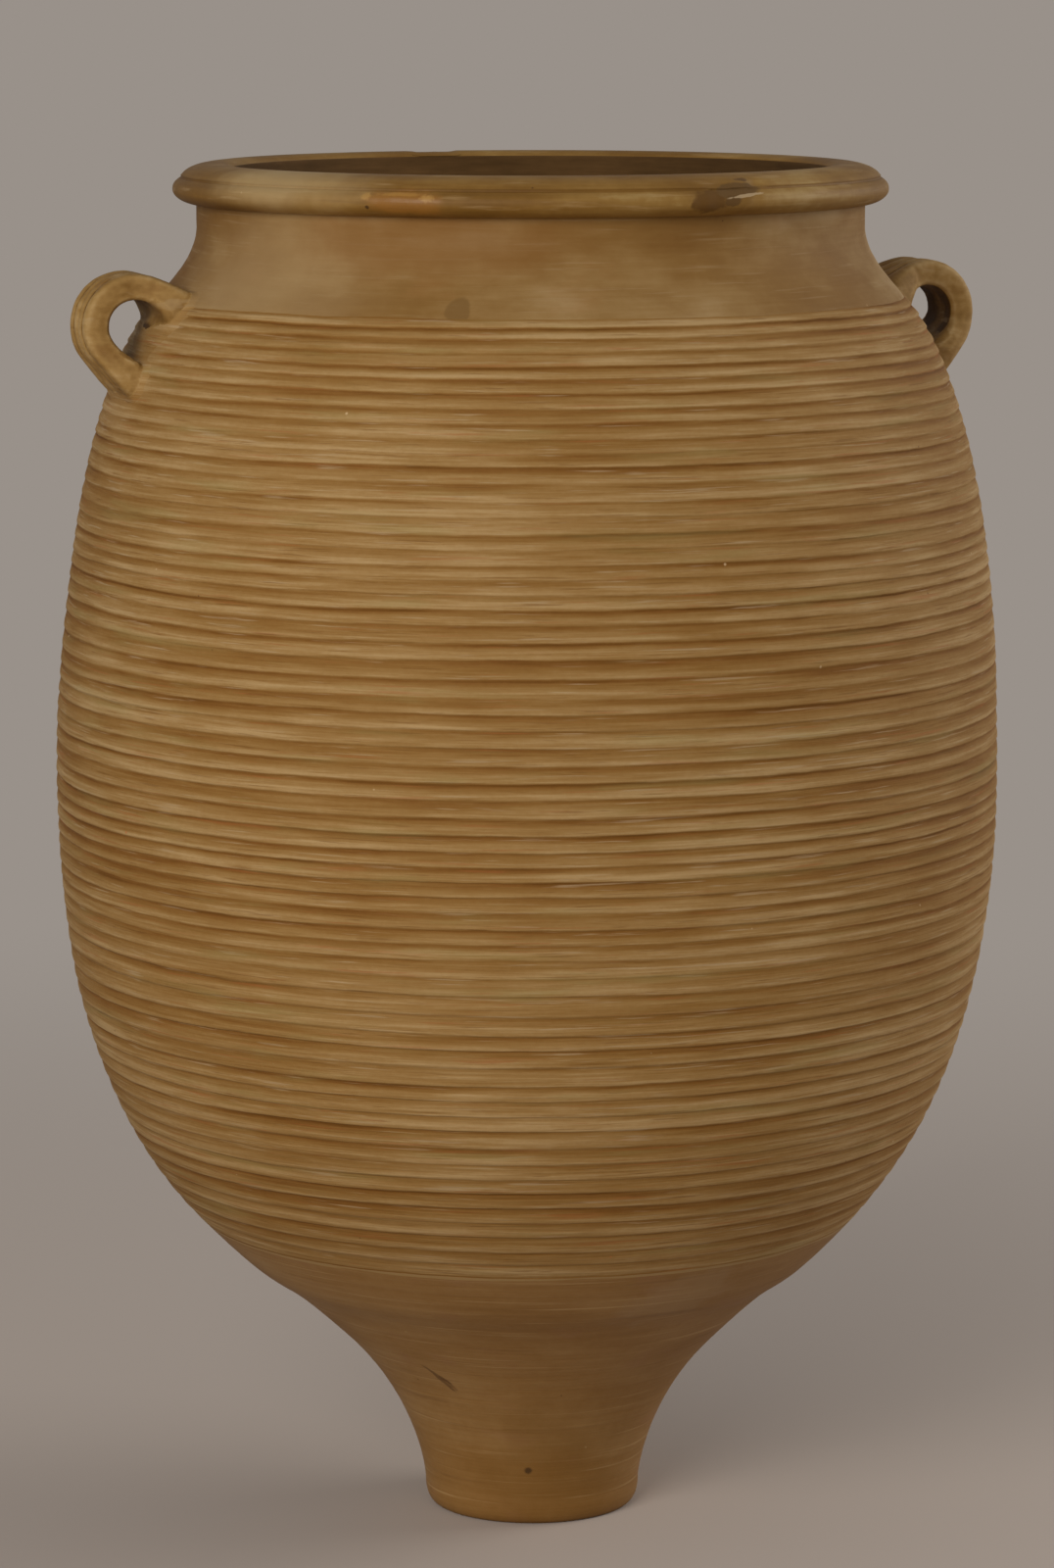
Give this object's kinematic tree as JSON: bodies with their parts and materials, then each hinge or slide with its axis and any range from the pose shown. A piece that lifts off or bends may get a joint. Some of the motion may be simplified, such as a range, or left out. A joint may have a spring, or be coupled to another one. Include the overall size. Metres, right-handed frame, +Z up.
{
  "type": "storage jar",
  "caption": "Large ovoid clay storage jar with a wide rolled rim, small trumpet foot, wheel-grooved belly and ribbed strap lugs on the shoulder.",
  "frame": {"origin": "middle of the flat cut base, on the surface the jar stands on", "axes": "+Z up along the jar's axis, towards the mouth; X through the two lugs, -X is the left one; the jar turns about Z"},
  "size_m": [0.6923, 0.6924, 1],
  "materials": {
    "clay": "fired earthenware with a thin pale slip, matt to faintly waxy"
  },
  "bodies": {
    "root": {"foot": "clay", "lower_wall": "clay", "belly_lower": "clay", "belly_middle": "clay", "belly_upper": "clay", "neck": "clay", "rim": "clay", "left_handle": "clay", "right_handle": "clay"}
  },
  "joints": []
}
